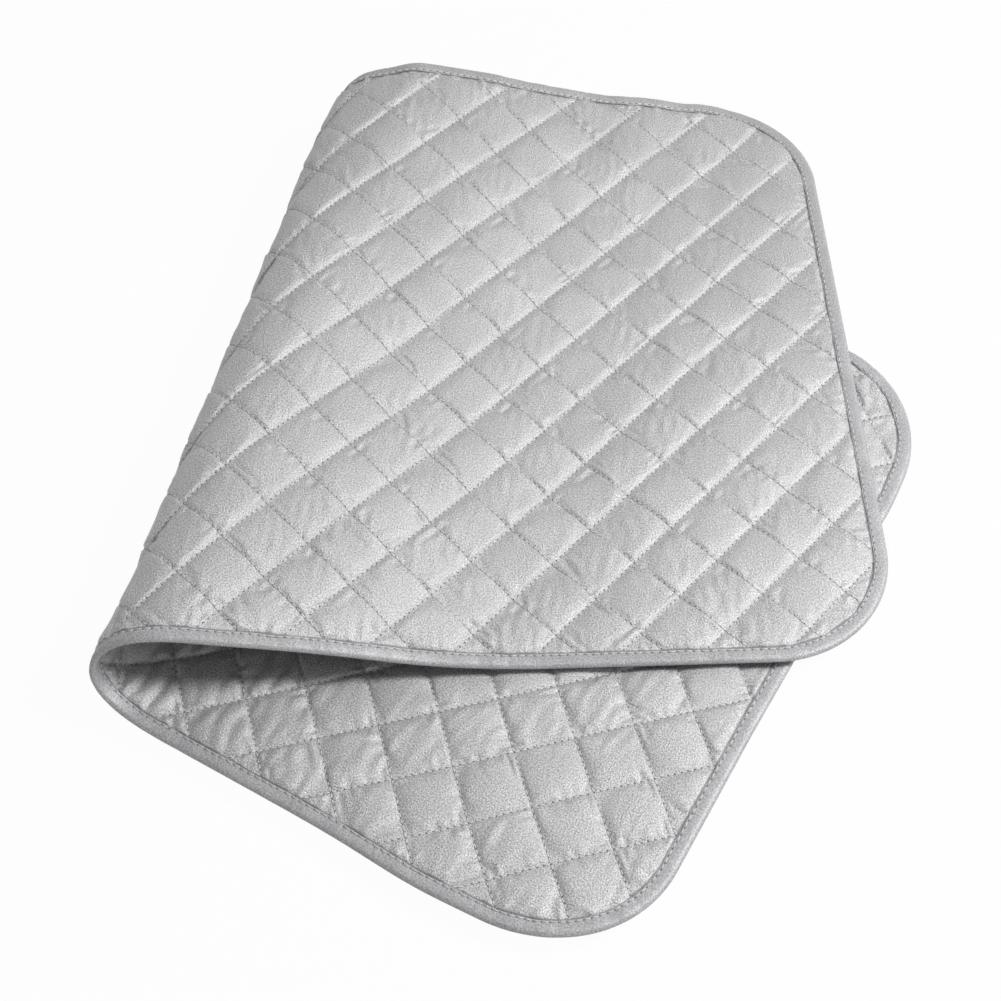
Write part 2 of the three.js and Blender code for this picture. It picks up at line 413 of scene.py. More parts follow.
def across_fold(cut, along, across):
    """Flat places measured across and along the fold, from places along and across the mat."""
    c, s = math.cos(cut.skew), math.sin(cut.skew)
    near = np.clip((-across - NEAR_START) / NEAR_LENGTH, 0, 1)
    far = hump(across, *FAR_CORNER)
    end = np.clip((along - LONGER_START) / (cut.length / 2 - LONGER_START), 0, 1) ** 2
    out = cut.bulge * near**2 * hump(along, *BULGE_ALONG)
    along = along + cut.longer * (LONGER_EVEN + LONGER_NEAR * near + LONGER_FAR * far) * end
    across = across - out
    return along * c + across * s, across * c - along * s


def inside_edge(cut, along, across):
    """How far flat places lie inside the mat's outline."""
    x = np.abs(along) - (cut.length / 2 - cut.corner)
    y = np.abs(across) - (cut.width / 2 - cut.corner)
    out = np.hypot(np.maximum(x, 0), np.maximum(y, 0)) + np.minimum(np.maximum(x, y), 0)
    return cut.corner - out


def diagonals(cut, along, across):
    """Flat places counted in diamonds along the two sets of quilting lines."""
    x = (along - cut.crossing_along) / (math.sqrt(2) * cut.spacing)
    y = (across - cut.crossing_across) / (math.sqrt(2) * cut.spacing)
    return x + y, x - y


def diamonds_out(cut):
    """How many diamonds lie between the mat's middle and beyond its furthest corner."""
    return math.ceil((cut.length + cut.width) / 2 / math.sqrt(2) / cut.spacing + 1)


def off_line(u):
    """Distance from the nearest quilting line, in diamonds."""
    return np.abs(u - np.round(u))


def ripples(x, y, name, side=0):
    """Soft uneven ridges, mostly between -1 and 1, of the named kind. The two faces can have their own."""
    heading, spread, wave, seed = RIPPLES[name]
    rng = np.random.default_rng(seed + side)
    total = np.zeros_like(x)
    for _ in range(RIPPLE_COUNT):
        turn = heading + math.pi / 2 + rng.normal(0, spread)
        pace = 2 * math.pi / (wave * rng.uniform(*RIPPLE_RANGE))
        total += np.sin((x * math.cos(turn) + y * math.sin(turn)) * pace + rng.uniform(0, 2 * math.pi))
    return total / math.sqrt(RIPPLE_COUNT)


# meshes


def vectors(items, key):
    """The named vector of every item, one row each."""
    values = np.zeros(len(items) * 3)
    items.foreach_get(key, values)
    return values.reshape(-1, 3)


def points_of(mesh):
    """A mesh's points, one row each."""
    return vectors(mesh.vertices, "co")


def put_points(mesh, *columns):
    """Moves a mesh's points to the places whose three columns are given."""
    mesh.vertices.foreach_set("co", np.stack(columns, axis=1).ravel())
    mesh.update()


def made_mesh(bm, name):
    """A new mesh of what was built."""
    mesh = bpy.data.meshes.new(name)
    bm.to_mesh(mesh)
    bm.free()
    return mesh


def map_flat(mesh, places):
    """Keeps the flat place of every point as a texture map."""
    loops = np.zeros(len(mesh.loops), np.int32)
    mesh.loops.foreach_get("vertex_index", loops)
    layer = mesh.uv_layers.new(name="flat")
    layer.data.foreach_set("uv", places[loops].ravel())


def shade_smooth(mesh):
    """Shades all faces smooth."""
    mesh.polygons.foreach_set("use_smooth", np.ones(len(mesh.polygons), bool))


def shown(name, data):
    """A new object in the scene."""
    piece = bpy.data.objects.new(name, data)
    bpy.context.scene.collection.objects.link(piece)
    return piece


# the quilted body


def quilt_grid(cut, cells):
    """A flat sheet whose mesh lines follow the quilting and crowd towards it, with its rim under the tape."""
    count = diamonds_out(cut)
    segments = 2 * count * cells
    bm = bmesh.new()
    bmesh.ops.create_grid(bm, x_segments=segments, y_segments=segments, size=count)
    mesh = bpy.data.meshes.new("flat_sheet")
    bm.to_mesh(mesh)
    diamonds = points_of(mesh)[:, :2]
    steps = mesh.attributes.new("steps", "FLOAT_VECTOR", "POINT")
    steps.data.foreach_set("vector", np.pad(diamonds + count, ((0, 0), (0, 1))).ravel())
    diamonds = diamonds - CROWDING * np.sin(2 * math.pi * diamonds)
    u, v = diamonds[:, 0] * cut.spacing / math.sqrt(2), diamonds[:, 1] * cut.spacing / math.sqrt(2)
    along, across = u + v + cut.crossing_along, u - v + cut.crossing_across
    put_points(mesh, along, across, 0 * along)
    bm.clear()
    bm.from_mesh(mesh)
    outside = inside_edge(cut, along, across) < CLOTH_END * cut.tape
    bmesh.ops.delete(bm, geom=[vert for vert, out in zip(bm.verts, outside) if out], context="VERTS")
    bmesh.ops.delete(bm, geom=[vert for vert in bm.verts if not vert.link_faces], context="VERTS")
    bmesh.ops.recalc_face_normals(bm, faces=bm.faces[:])
    if bm.faces[:][0].normal.z < 0:
        bmesh.ops.reverse_faces(bm, faces=bm.faces[:])
    bm.to_mesh(mesh)
    bm.free()
    return mesh


def steps_of(sheet):
    """Each point's place in the grid, counted in diamonds from the grid's corner."""
    return vectors(sheet.attributes["steps"].data, "vector")[:, :2]


def read_grid(grid, steps):
    """Values between the points of a grid."""
    low = np.clip(np.floor(steps).astype(int), 0, len(grid) - 2)
    part = steps - low
    i, j, a, b = low[:, 0], low[:, 1], part[:, :1], part[:, 1:]
    near = grid[i, j] * (1 - b) + grid[i, j + 1] * b
    far = grid[i + 1, j] * (1 - b) + grid[i + 1, j + 1] * b
    return near * (1 - a) + far * a


def seam_profile(distance, half_span, power):
    """Rise of a filled pillow from 0 at a seam to 1 half way to the next."""
    return 1 - (1 - np.clip(distance / half_span, 0, 1)) ** power


def by_diamond(values, u, v):
    """The value of the diamond that each place lies in, from a square of random draws."""
    return values[..., np.floor(u).astype(int) % DRAWS, np.floor(v).astype(int) % DRAWS]


def pillows(cut, along, across, side):
    """Share of full loft that each flat place has: none at the seams, one at a pillow's crown."""
    u, v = diagonals(cut, along, across)
    edge = inside_edge(cut, along, across) - LOFT_START * cut.tape
    half = cut.spacing / 2
    rise = seam_profile(off_line(u) * cut.spacing, half, SEAM_POWER)
    rise = rise * seam_profile(off_line(v) * cut.spacing, half, SEAM_POWER)
    rise *= seam_profile(edge, EDGE_SPAN * half, EDGE_POWER)
    fill = np.random.default_rng(FILL_SEED + side).uniform(*FILL_RANGE, (DRAWS, DRAWS))
    return rise * by_diamond(fill, u, v)


def pushed_over(u, side):
    """Places counted in diamonds, with the outer face's pillows pushed to one side by the machine's feed."""
    whole = np.floor(u)
    return u if side == 1 else whole + 1 - (1 - u + whole) ** FEED_PUSH


def seam_float(cut, along, across, side):
    """How far above the deepest seams each place would float, were it on a seam.

    On the outer face the second set of lines is sewn over the first, and stays high between the crossings.
    """
    if side == 1:
        return 0 * along
    u = pushed_over(diagonals(cut, along, across)[0], side)
    loft = (cut.thickness - cut.seam) / 2
    clear = inside_edge(cut, along, across) - FLOAT_START * cut.tape
    from_tape = seam_profile(clear, FLOAT_SPAN * cut.spacing, EDGE_POWER)
    return cut.floating * loft * from_tape * seam_profile(off_line(u), 0.5, EDGE_POWER)


def by_long_side(cut, along, across):
    """Which places lie nearer to a long side of the mat than to a short one, by their share of its size."""
    return np.abs(across) / cut.width > np.abs(along) / cut.length


def creases(cut, along, across, side):
    """Heights in metres that creases add: those inside the pillows, and those pulled in from the binding."""
    patchy = np.clip(PATCH_MEAN + PATCH_SWING * ripples(along, across, "patches", side), 0, PATCH_MOST)
    inside = FINE_CREASE * patchy * ripples(along, across, "fine", side)
    by_edge = np.exp(-np.maximum(inside_edge(cut, along, across) - cut.tape, 0) / EDGE_FADE)
    beside = np.where(by_long_side(cut, along, across), along, across)
    pulled = EDGE_CREASE * by_edge * ripples(beside, 0 * beside, "pulled", side)
    if side == 1:
        # Inside the bight the cloth has too much room. Its ridges differ from diamond to diamond.
        u, v = diagonals(cut, along, across)
        draws = np.random.default_rng(RIDGE_SEED).uniform(0, 1, (2, DRAWS, DRAWS))
        phase, much = by_diamond(draws, u, v)
        bent = along + RIDGE_SLANT * across + RIDGE_BEND * ripples(along, across, "ridge_bend")
        ridges = np.abs(np.sin(math.pi * (bent / RIDGE_WAVE + phase))) ** RIDGE_POWER - RIDGE_LEVEL
        x, _ = across_fold(cut, along, across)
        past_lower = np.maximum(x - ROOM_LOWER, 0) / ROOM_LOWER_FADE
        past_upper = np.minimum(x - ROOM_UPPER, 0) / ROOM_UPPER_FADE
        room = np.exp(-(past_lower**2) - past_upper**2)
        inside = inside + RIDGE_HEIGHT * room * (RIDGE_LEAST + (1 - RIDGE_LEAST) * much) * ridges
    return inside, pulled


def filled_places(cut, sheet, side):
    """Places of one face's cloth along and across the mat, and its height above the seams."""
    flat = points_of(sheet)
    along, across = flat[:, 0], flat[:, 1]
    loft = (cut.thickness - cut.seam) / 2
    rise = pillows(cut, along, across, side)
    steps = steps_of(sheet)
    steps[:, 0] = pushed_over(steps[:, 0], side)
    moved = read_grid(swollen_cloth(cut, side), steps * (cut.cells // 2))
    moved[:, 2] *= loft / np.percentile(moved[rise > CROWN_SHARE, 2], CROWN_PERCENT)
    # The wadding fills a pillow out towards its seams, and leaves its crown flat.
    height = loft * (1 - np.exp(-PLUMP * np.maximum(moved[:, 2], 0) / loft)) / (1 - math.exp(-PLUMP))
    _, v = diagonals(cut, along, across)
    on_second = 1 - seam_profile(off_line(v), 0.5, SEAM_POWER)
    height = height + seam_float(cut, along, across, side) * on_second
    inside, pulled = creases(cut, along, across, side)
    rise = np.clip(rise, 0, 1)
    height = np.maximum(height + rise**FINE_POWER * inside + rise**EDGE_CREASE_POWER * pulled, 0)
    height *= seam_profile(inside_edge(cut, along, across) - PRESS_END * cut.tape, TAPE_PRESS, TAPE_POWER)
    return along + moved[:, 0], across + moved[:, 1], height


def held_by_seams(cut, along, across):
    """Which flat places the quilting or the binding's row holds."""
    u, v = diagonals(cut, along, across)
    on_line = np.minimum(off_line(u), off_line(v)) < SEAM_HOLDS
    return on_line | (inside_edge(cut, along, across) < HOLD_END * cut.tape)


def cut_before_sewing(cut, along, across, side):
    """Where the cloth's points lie before the stitches gather it: a little further apart, and unevenly so."""
    x, _ = across_fold(cut, along, across)
    fed_x = FED_UNEVEN * ripples(along, across, "fed_along", side)
    fed_y = FED_UNEVEN * ripples(along, across, "fed_across", side)
    by_edge = np.exp(-np.maximum(inside_edge(cut, along, across) - cut.tape, 0) / PUCKER_FADE)
    pucker = PUCKER * by_edge * ripples(along, across, "pucker", side)
    share, place, reach = PUSHED_INNER if side == 1 else PUSHED_OUTER
    line = np.linspace(-PUSH_LINE, PUSH_LINE, PUSH_TABLE)
    pushed = np.cumsum(share * hump(line, place, reach)) * (line[1] - line[0])
    push = np.interp(x, line, pushed - pushed[len(line) // 2])
    c, s = math.cos(cut.skew), math.sin(cut.skew)
    on_long = by_long_side(cut, along, across)
    far_x = along * (1 + EASE) + fed_x + push * c + np.where(on_long, pucker, 0)
    far_y = across * (1 + EASE) + fed_y + push * s + np.where(on_long, 0, pucker)
    return far_x, far_y


def swollen_cloth(cut, side):
    """Simulates one face: the stitches draw the cut cloth in to their lines while the wadding pushes it out.

    Gives a grid of how far each point moves along and across the mat, and its height.
    """
    cells = cut.cells // 2
    sheet = quilt_grid(cut, cells)
    flat = points_of(sheet)
    along, across = flat[:, 0], flat[:, 1]
    held = held_by_seams(cut, along, across)
    rise = START_RISE * pillows(cut, along, across, side) + START_ROUGH * ripples(along, across, "start")
    start = np.where(held, 0, rise)
    far_x, far_y = cut_before_sewing(cut, along, across, side)
    mesh = sheet.copy()
    put_points(mesh, far_x * CLOTH_SCALE, far_y * CLOTH_SCALE, start * CLOTH_SCALE)
    cloth = shown("swelling_cloth", mesh)
    cloth.shape_key_add(name="cut")
    sewn = cloth.shape_key_add(name="sewn")
    sewn.data.foreach_set("co", np.stack([along, across, start], axis=1).ravel() * CLOTH_SCALE)
    for value, when in ((0.0, 1), (1.0, round(CLOTH_SEWN * CLOTH_FRAMES))):
        sewn.value = value
        sewn.keyframe_insert("value", frame=when)
    stitched = cloth.vertex_groups.new(name="stitched")
    stitched.add(np.nonzero(held)[0].tolist(), 1.0, "REPLACE")
    modifier = cloth.modifiers.new("swelling", "CLOTH")
    for key, value in CLOTH_SETTINGS.items():
        setattr(modifier.settings, key, value)
    modifier.settings.effector_weights.gravity = 0.0
    modifier.settings.vertex_group_mass = "stitched"
    modifier.collision_settings.use_collision = False
    modifier.point_cache.frame_start = 1
    modifier.point_cache.frame_end = CLOTH_FRAMES
    scene = bpy.context.scene
    for number in range(1, CLOTH_FRAMES + 1):
        scene.frame_set(number)
    done = cloth.evaluated_get(bpy.context.evaluated_depsgraph_get())
    places = points_of(done.data) / CLOTH_SCALE
    scene.frame_set(1)
    action = mesh.shape_keys.animation_data.action
    bpy.data.objects.remove(cloth)
    bpy.data.meshes.remove(mesh)
    bpy.data.actions.remove(action)
    moved = places - flat
    moved[:, :2] = np.clip(moved[:, :2], -MOST_MOVED, MOST_MOVED)
    steps = np.rint(steps_of(sheet) * cells).astype(int)
    bpy.data.meshes.remove(sheet)
    grid = np.zeros((steps.max() + 2, steps.max() + 2, 3))
    grid[steps[:, 0], steps[:, 1]] = moved
    return grid


def quilted_body(cut):
    """The whole filled body in flat places across and along the fold, split where it will be parted."""
    sheet = quilt_grid(cut, cut.cells)
    map_flat(sheet, points_of(sheet)[:, :2])
    filled = [filled_places(cut, sheet, side) for side in (0, 1)]
    sheet.attributes.remove(sheet.attributes["steps"])
    bm = bmesh.new()
    for side, way in ((0, -1), (1, 1)):
        along, across, height = filled[side]
        x, y = across_fold(cut, along, across)
        put_points(sheet, x, y, cut.thickness / 2 + way * (cut.seam / 2 + height))
        bm.from_mesh(sheet)
        if side == 0:
            bmesh.ops.reverse_faces(bm, faces=bm.faces[:])
    bpy.data.meshes.remove(sheet)
    rim = [edge for edge in bm.edges if edge.is_boundary]
    bmesh.ops.bridge_loops(bm, edges=rim)
    return split_lines(bm)


def split_lines(bm):
    """Cuts edges into a flat body along each split."""
    for place in SPLITS:
        parts = set()
        for face in bm.faces:
            if abs(face.verts[0].co.x - place) < SPLIT_NEAR:
                parts.add(face)
                parts.update(face.edges)
                parts.update(face.verts)
        bmesh.ops.bisect_plane(bm, geom=list(parts), dist=WELD, plane_co=(place, 0, 0), plane_no=(1, 0, 0))
    return made_mesh(bm, "whole")


def length_at(x):
    """Which of the mat's lengths each flat place across the fold lies in."""
    return np.searchsorted(-np.array(SPLITS), -x)


def lengths_of(mesh, bend, names):
    """Bends a whole flat body and parts it into its lengths, with normals that run on across the splits."""
    part = length_at(vectors(mesh.polygons, "center")[:, 0])
    put_points(mesh, *bend(points_of(mesh)).T)
    layer = mesh.attributes.new("run_on", "FLOAT_VECTOR", "POINT")
    layer.data.foreach_set("vector", vectors(mesh.vertex_normals, "vector").ravel())
    made = []
    for number, name in enumerate(names):
        bm = bmesh.new()
        bm.from_mesh(mesh)
        others = [face for face, of in zip(bm.faces, part) if of != number]
        bmesh.ops.delete(bm, geom=others, context="FACES")
        ends = [edge for edge in bm.edges if edge.is_boundary]
        walls = bmesh.ops.holes_fill(bm, edges=ends, sides=0)["faces"]
        for edge in ends:
            edge.smooth = False
        bmesh.ops.triangulate(bm, faces=walls)
        own = made_mesh(bm, name)
        normals = vectors(own.attributes["run_on"].data, "vector")
        own.attributes.remove(own.attributes["run_on"])
        shade_smooth(own)
        own.normals_split_custom_set_from_vertices(normals)
        made.append(shown(name, own))
    bpy.data.meshes.remove(mesh)
    return made


def bend_with_bodies(piece, number, cut, bend):
    """Works out the bent places of a length's two ends, which are not kept, and bakes the piece's place into
    its mesh.
    """
    inner = cut.thickness
    if number < len(FOLDS):
        start, end = (MIDDLE_FOLD + 0.5 - number) * STRIP, (MIDDLE_FOLD - 0.5 - number) * STRIP
    else:
        start, end = -bend.dip + cut.dip_reach, -bend.dip - cut.dip_reach
    bend.one(start, inner)
    bend.one(end, inner)
    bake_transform(piece)


# finishes


def add(tree, kind, settings=None, **links):
    """Adds a node with its settings, and links or sets the inputs that are named."""
    node = tree.nodes.new(kind)
    for key, value in (settings or {}).items():
        setattr(node, key, value)
    for key, value in links.items():
        socket = node.inputs[int(key[1:])] if key[1:].isdigit() else node.inputs[key.replace("_", " ")]
        if isinstance(value, bpy.types.NodeSocket):
            tree.links.new(value, socket)
        else:
            socket.default_value = value
    return node


def calc(tree, operation, *values, kind="ShaderNodeMath", result=0):
    """The result of an operation on numbers or on other nodes' results."""
    links = {f"i{number}": value for number, value in enumerate(values)}
    return add(tree, kind, {"operation": operation}, **links).outputs[result]


def vector_calc(tree, operation, *values, result="Vector"):
    """The result of an operation on vectors."""
    return calc(tree, operation, *values, kind="ShaderNodeVectorMath", result=result)


def ranged(tree, value, start, end, low, high, curve="LINEAR"):
    """A value that goes from low to high while another goes from start to end."""
    return add(
        tree, "ShaderNodeMapRange", {"interpolation_type": curve}, Value=value,
        From_Min=start, From_Max=end, To_Min=low, To_Max=high,
    ).outputs[0]


def toned(tree, noise, tones):
    """Noise spread over a range of tones."""
    return ranged(tree, noise, *NOISE_RANGE, *tones)


def flat_noise(tree, place, wave, **more):
    """Noise over the flat cloth, with waves of a length."""
    return add(
        tree, "ShaderNodeTexNoise", {"noise_dimensions": "2D"}, Vector=place, Scale=1 / wave, **more
    ).outputs[0]


def scaled(tree, colour, amount):
    """A colour made lighter or darker."""
    settings = {"operation": "SCALE"}
    return add(tree, "ShaderNodeVectorMath", settings, i0=tuple(colour)[:3], Scale=amount).outputs[0]


def mixed(tree, share, first, second):
    """Two colours mixed, with a share of the second."""
    settings = {"data_type": "RGBA"}
    return add(tree, "ShaderNodeMix", settings, i0=share, i6=first, i7=tuple(second)).outputs[2]


def bumped(tree, height, strength, depth):
    """Normals for fine relief."""
    return add(tree, "ShaderNodeBump", Strength=strength, Distance=depth, Height=height).outputs[0]


def new_finish(name):
    """A new material and its empty tree of nodes."""
    finish = bpy.data.materials.new(name)
    finish.use_nodes = True
    tree = finish.node_tree
    tree.nodes.clear()
    return finish, tree


def surface(tree, **inputs):
    """Ends a tree with a surface that has these inputs."""
    shader = add(tree, "ShaderNodeBsdfPrincipled", **inputs).outputs[0]
    add(tree, "ShaderNodeOutputMaterial", Surface=shader)


def silver_cloth(cut, colours):
    """Aluminium-coated cotton, plain woven: a grey metallic satin whose threads glint one by one. Shade is
    painted into its needle holes, the grooves of its seams and the crease along the binding.
    """
    finish, tree = new_finish("aluminium_coated_cotton")
    place = add(tree, "ShaderNodeUVMap", {"uv_map": "flat"}).outputs[0]
    diamond = add(
        tree, "ShaderNodeMapping", {"vector_type": "TEXTURE"}, Vector=place,
        Location=(cut.crossing_along, cut.crossing_across, 0), Rotation=(0, 0, math.pi / 4),
        Scale=(cut.spacing, cut.spacing, 1),
    ).outputs[0]
    # Needle holes and the grooves of the seams, by the distance in diamonds. The shade in them is painted
    # into the colour.
    axes = add(tree, "ShaderNodeSeparateXYZ", Vector=diamond).outputs
    off_u = calc(tree, "PINGPONG", axes[0], 0.5)
    off_v = calc(tree, "PINGPONG", axes[1], 0.5)
    holes = []
    for off, run in ((off_u, axes[1]), (off_v, axes[0])):
        count = calc(tree, "MULTIPLY", run, float(cut.stitches))
        beat = calc(tree, "PINGPONG", count, 0.5)
        step = calc(tree, "DIVIDE", beat, float(cut.stitches))
        pair = add(tree, "ShaderNodeCombineXYZ", X=off, Y=step).outputs[0]
        holes.append(vector_calc(tree, "LENGTH", pair, result="Value"))
    nearest = calc(tree, "MINIMUM", *holes)
    hole = ranged(tree, nearest, *(fade / cut.spacing for fade in HOLE_FADE), 1.0, 0.0, "SMOOTHSTEP")
    seam = calc(tree, "MINIMUM", off_u, off_v)
    groove = ranged(tree, seam, *(fade / cut.spacing for fade in GROOVE_FADE), 1.0, 0.0, "SMOOTHSTEP")
    grain = flat_noise(tree, place, GRAIN, Detail=2.0, Roughness=0.7)
    cloudy = flat_noise(tree, place, CLOUDS, Detail=3.0)
    speck = toned(tree, grain, (1 - SPARKLE, 1 + SPARKLE))
    plain = scaled(tree, colours.cloth, calc(tree, "MULTIPLY", speck, toned(tree, cloudy, CLOUD_TONES)))
    # The distance out from the corners' centres, for the painted shadow in the tight crease along the
    # binding's edge.
    half = (cut.length / 2 - cut.corner, cut.width / 2 - cut.corner, 0)
    far = vector_calc(tree, "ABSOLUTE", place)
    far = vector_calc(tree, "SUBTRACT", far, half)
    far = vector_calc(tree, "MAXIMUM", far, (0, 0, 0))
    far = vector_calc(tree, "LENGTH", far, result="Value")
    edges = [cut.corner - cut.tape - fade for fade in TUCK_FADE]
    painted_crease_shadow = ranged(tree, far, *edges, 0.0, TUCK_SHADE, "SMOOTHSTEP")
    # Painted shade: the cloth darkens towards the painted shade colour in the seam grooves, in the needle
    # holes and in the crease by the binding.
    dark = calc(tree, "MULTIPLY", groove, GROOVE_SHADE)
    painted_hole_shade = calc(tree, "MULTIPLY", hole, HOLE_SHADE)
    painted_shade_share = calc(tree, "MAXIMUM", calc(tree, "MAXIMUM", dark, painted_hole_shade), painted_crease_shadow)
    colour = mixed(tree, painted_shade_share, plain, colours.shade)
    rough = toned(tree, grain, ROUGH)
    bump = bumped(tree, calc(tree, "MULTIPLY_ADD", hole, HOLE_PIT, grain), strength=0.8, depth=0.5 * MM)
    surface(tree, Base_Color=colour, Roughness=rough, Normal=bump, Metallic=0.5)
    return finish


def tape_finish(cut, colours):
    """Woven tape with a thin silver coat: smoother and a little darker than the cloth, with shade painted
    along its rows of stitches and darkest at the stitch holes.
    """
    finish, tree = new_finish("silver_coated_tape")
    place = add(tree, "ShaderNodeUVMap", {"uv_map": "flat"}).outputs[0]
    grain = flat_noise(tree, place, TAPE_GRAIN, Detail=2.0)
    cloudy = flat_noise(tree, place, TAPE_CLOUDS, Detail=2.0)
    speck = toned(tree, grain, TAPE_SPECKS)
    plain = scaled(tree, colours.tape, calc(tree, "MULTIPLY", speck, toned(tree, cloudy, TAPE_TONES)))
    axes = add(tree, "ShaderNodeSeparateXYZ", Vector=place).outputs
    on_row = calc(tree, "MAXIMUM", *(calc(tree, "COMPARE", axes[1], row, ROW_HALF) for row in tape_rows()))
    count = calc(tree, "DIVIDE", axes[0], stitch_length(cut))
    gap = ranged(tree, calc(tree, "PINGPONG", count, 0.5), *ROW_FADE, *ROW_SHADE)
    # Painted shade along the rows of stitches, darkest at each stitch hole, with a pit in the bump there too.
    hole = calc(tree, "MULTIPLY", on_row, gap)
    colour = mixed(tree, hole, plain, colours.shade)
    bump = bumped(tree, calc(tree, "MULTIPLY_ADD", hole, TAPE_PIT, grain), strength=0.5, depth=0.35 * MM)
    surface(tree, Base_Color=colour, Normal=bump, Roughness=0.55, Metallic=0.25)
    return finish


def thread_finish(colours):
    """Spun polyester thread: pale, matt, with the light and dark of its twist."""
    finish, tree = new_finish("spun_polyester_thread")
    place = add(tree, "ShaderNodeTexCoord").outputs["Object"]
    twist = add(tree, "ShaderNodeTexNoise", Vector=place, Scale=1 / TWIST, Detail=1.0).outputs[0]
    colour = scaled(tree, colours.thread, toned(tree, twist, TWIST_TONES))
    bump = bumped(tree, twist, strength=0.3, depth=0.1 * MM)
    surface(tree, Base_Color=colour, Normal=bump, Roughness=0.6)
    return finish


def floor_finish(colours):
    """Matt white card: white to the camera, with a faint trace of the mat's shadow."""
    finish, tree = new_finish("white_card")
    path = add(tree, "ShaderNodeLightPath").outputs
    seen = calc(tree, "MAXIMUM", path["Is Camera Ray"], path["Is Glossy Ray"])
    seen = calc(tree, "MAXIMUM", seen, path["Is Transmission Ray"])
    share = calc(tree, "MULTIPLY", seen, FLOOR_GLOW)
    matt = add(tree, "ShaderNodeBsdfDiffuse", Color=tuple(colours.floor)).outputs[0]
    white = add(tree, "ShaderNodeEmission", Color=WHITE, Strength=1.0).outputs[0]
    both = add(tree, "ShaderNodeMixShader", i0=share, i1=matt, i2=white).outputs[0]
    add(tree, "ShaderNodeOutputMaterial", Surface=both)
    return finish


# the binding and the stitches


def edge_line(cut, count):
    """Points round the outline, their outward directions, and the distance along."""
    x, y, r = cut.length / 2 - cut.corner, cut.width / 2 - cut.corner, cut.corner
    quarter = math.pi / 2 * r
    runs = [2 * y, quarter, 2 * x, quarter, 2 * y, quarter, 2 * x, quarter]
    marks = np.concatenate([[0.0], np.cumsum(runs)])
    s = np.linspace(0, marks[-1], count + 1)[:-1]
    turns = np.array([0, 0, 1, 1, 2, 2, 3, 3, 4]) * math.pi / 2
    turn = np.interp(s, marks, turns)
    corners_x = np.array([x, x, x, -x, -x, -x, -x, x, x])
    corners_y = np.array([-y, y, y, y, y, -y, -y, -y, -y])
    out = np.stack([np.cos(turn), np.sin(turn)], axis=1)
    base = np.stack([np.interp(s, marks, corners_x), np.interp(s, marks, corners_y)], axis=1)
    return base + out * r, out, s, float(marks[-1])


def outline_length(cut):
    """Once round the mat."""
    return edge_line(cut, 1)[3]


def stitch_count(cut):
    """How many stitches the binding's row has."""
    return round(outline_length(cut) / cut.tape_stitch)


def stitch_length(cut):
    """The binding's stitch, so that a whole number go round."""
    return outline_length(cut) / stitch_count(cut)


def tape_length(cut, number):
    """How much of the outline lies in one length of the mat."""
    base, _, _, whole = edge_line(cut, LENGTH_STEPS)
    x, _ = across_fold(cut, base[:, 0], base[:, 1])
    return whole * float(np.mean(length_at(x) == number))


def tape_section():
    """The tape's closed cross-section, round from one face to the other and back."""
    ring = TAPE_TOP + [TAPE_RIM] + [(a, -z) for a, z in reversed(TAPE_TOP)]
    ring += [(a, -z) for a, z in reversed(TAPE_UNDER)] + [TAPE_FOLD] + TAPE_UNDER
    return np.array(ring) * MM


def around_tape(section):
    """Distance round the tape's cross-section up to each of its points, and once round."""
    sides = np.linalg.norm(np.diff(section, axis=0, append=section[:1]), axis=1)
    return np.concatenate([[0], np.cumsum(sides)])


def tape_rows():
    """Where the two faces' rows of stitches lie, by the distance round the tape's cross-section."""
    section = tape_section()
    sunk = np.nonzero(np.isclose(section[:, 0], STITCH_INSET))[0]
    return [float(place) for place in around_tape(section)[sunk]]


def binding_body(cut):
    """The whole binding in flat places across and along the fold, split as the body is."""
    section = tape_section()
    count = STITCH_STEPS * stitch_count(cut)
    base, out, s, _ = edge_line(cut, count)
    bm = bmesh.new()
    bmesh.ops.create_grid(bm, x_segments=count, y_segments=len(section), size=0.5)
    mesh = made_mesh(bm, "binding_grid")
    grid = points_of(mesh)
    i = np.rint((grid[:, 0] + 0.5) * count).astype(int)
    j = np.rint((grid[:, 1] + 0.5) * len(section)).astype(int)
    a, z = section[j % len(section), 0], section[j % len(section), 1]
    k = i % count
    beat = 0.5 + 0.5 * np.cos(2 * math.pi * i / STITCH_STEPS)
    sunk = STITCH_SUNK * hump(a, STITCH_INSET, STITCH_REACH) * beat
    face = np.sign(z) * np.clip(np.abs(z) / TAPE_SIDE, 0, 1)
    puffed = TAPE_PUFF * ripples(s, 0 * s, "tape_puff")[k] + TAPE_CREASE * ripples(s, 0 * s, "tape_crease")[k]
    z = z + face * (puffed - sunk)
    wander = TAPE_WANDER * ripples(s, 0 * s, "tape_wander")[k]
    a = a + wander * np.clip(a / cut.tape, 0, 1)
    x, y = across_fold(cut, base[k, 0] - out[k, 0] * a, base[k, 1] - out[k, 1] * a)
    put_points(mesh, x, y, cut.thickness / 2 + z)
    map_flat(mesh, np.stack([i * (s[1] - s[0]), around_tape(section)[j]], axis=1))
    bm = bmesh.new()
    bm.from_mesh(mesh)
    bpy.data.meshes.remove(mesh)
    bmesh.ops.remove_doubles(bm, verts=bm.verts[:], dist=WELD)
    bmesh.ops.recalc_face_normals(bm, faces=bm.faces[:])
    return split_lines(bm)


